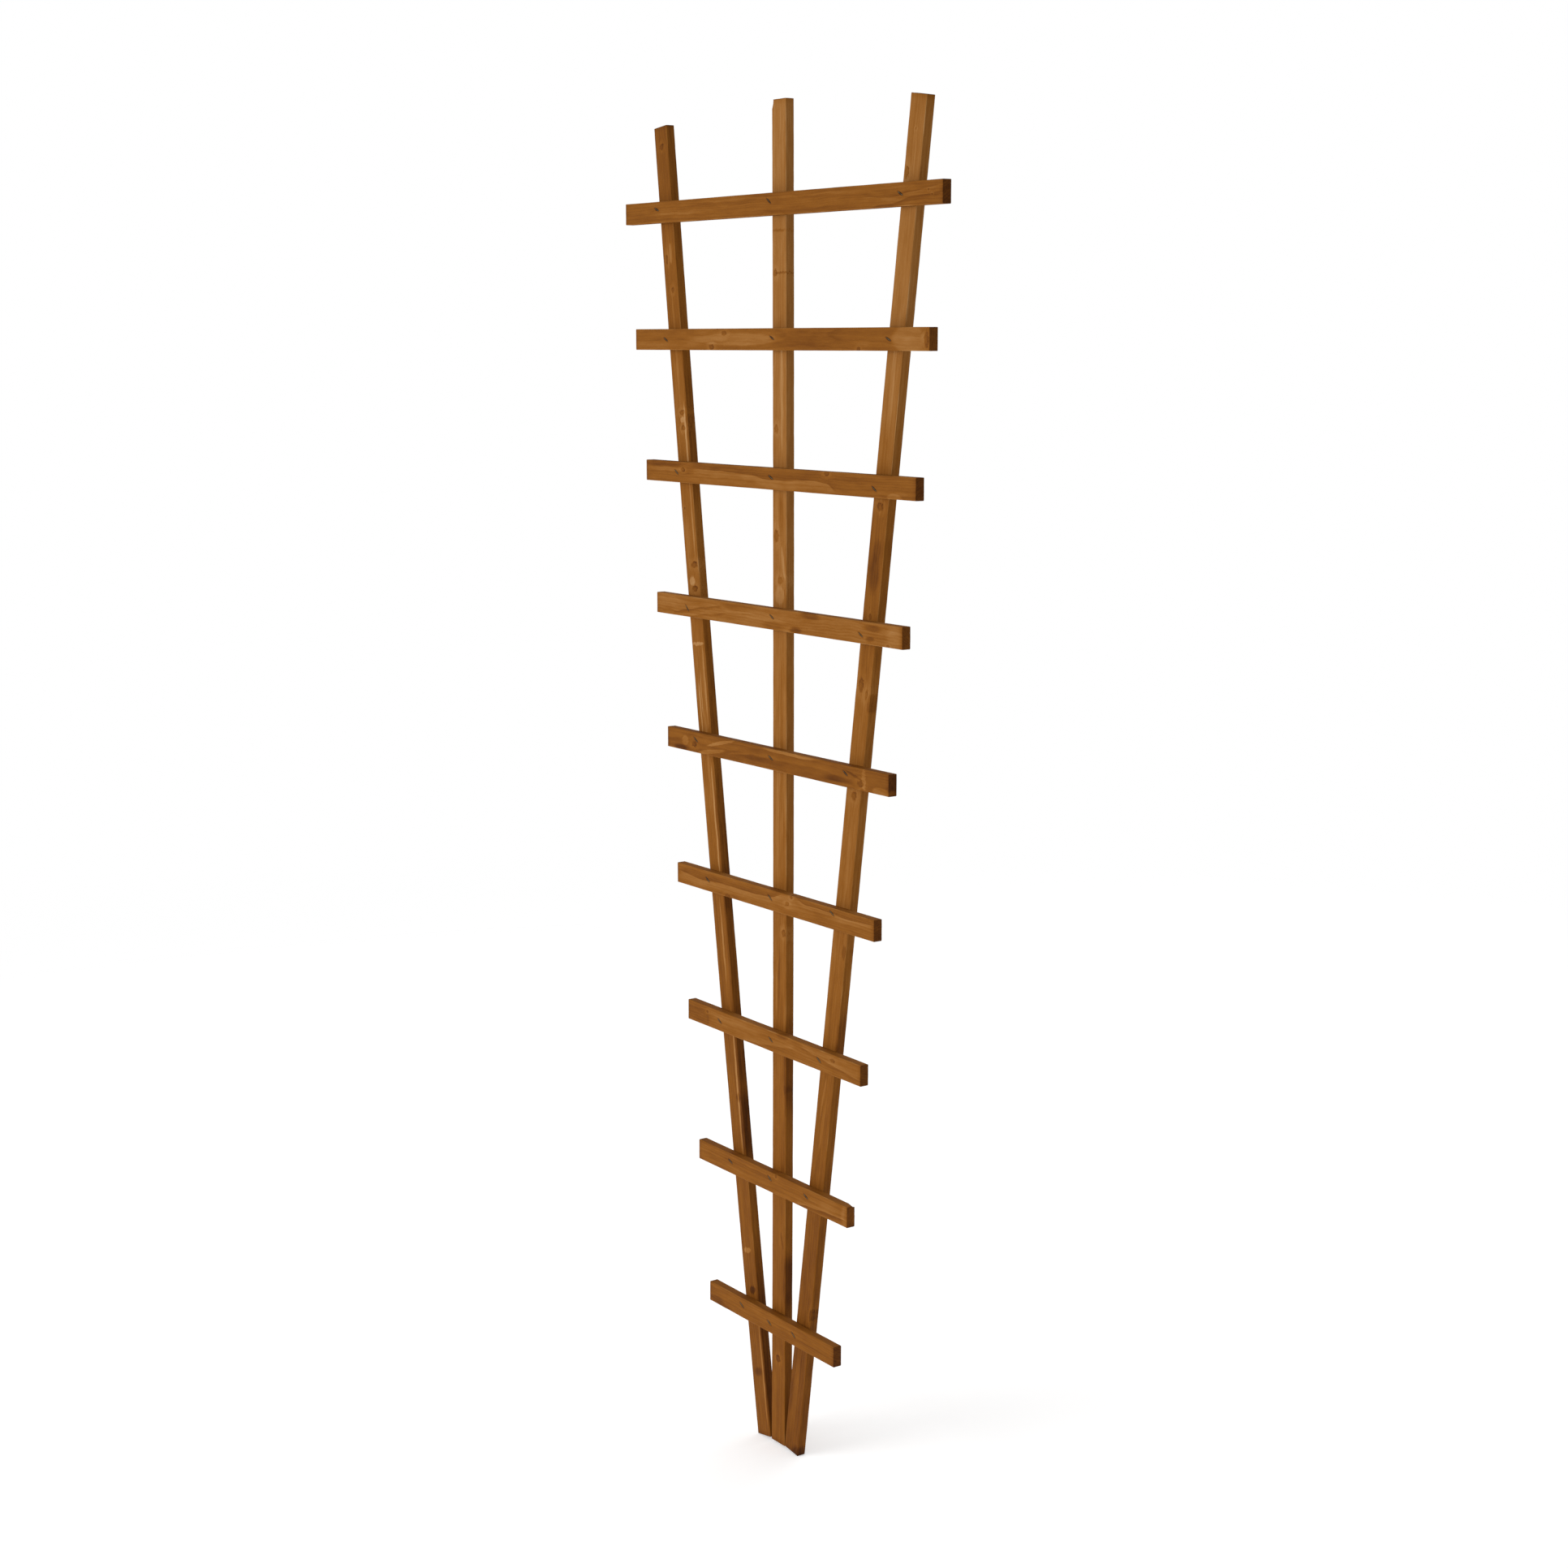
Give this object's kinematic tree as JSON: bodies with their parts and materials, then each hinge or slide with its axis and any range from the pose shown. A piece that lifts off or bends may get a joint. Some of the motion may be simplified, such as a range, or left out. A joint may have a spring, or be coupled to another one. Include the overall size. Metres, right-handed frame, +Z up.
{
  "type": "fan trellis",
  "caption": "Flat wooden fan trellis: uprights that spread from a narrow foot, level battens stapled across their front.",
  "frame": {"origin": "on the centre line at the lowest point of the feet, in the plane where the uprights touch the battens", "axes": "+X across the fan, to the right as seen from the front; +Y back, towards the wall; +Z up the centre upright"},
  "size_m": [0.705, 0.0262, 1.8326],
  "materials": {
    "treated_softwood": "rough-sawn, golden-brown dip treatment, matt",
    "staple_wire": "dull zinc-coated wire, partly stained by the wood treatment"
  },
  "bodies": {
    "root": {"left_upright": "treated_softwood", "centre_upright": "treated_softwood", "right_upright": "treated_softwood", "cross_batten_1": "treated_softwood", "cross_batten_2": "treated_softwood", "cross_batten_3": "treated_softwood", "cross_batten_4": "treated_softwood", "cross_batten_5": "treated_softwood", "cross_batten_6": "treated_softwood", "cross_batten_7": "treated_softwood", "cross_batten_8": "treated_softwood", "cross_batten_9": "treated_softwood", "cross_batten_1_staples": "staple_wire", "cross_batten_2_staples": "staple_wire", "cross_batten_3_staples": "staple_wire", "cross_batten_4_staples": "staple_wire", "cross_batten_5_staples": "staple_wire", "cross_batten_6_staples": "staple_wire", "cross_batten_7_staples": "staple_wire", "cross_batten_8_staples": "staple_wire", "cross_batten_9_staples": "staple_wire"}
  },
  "joints": []
}
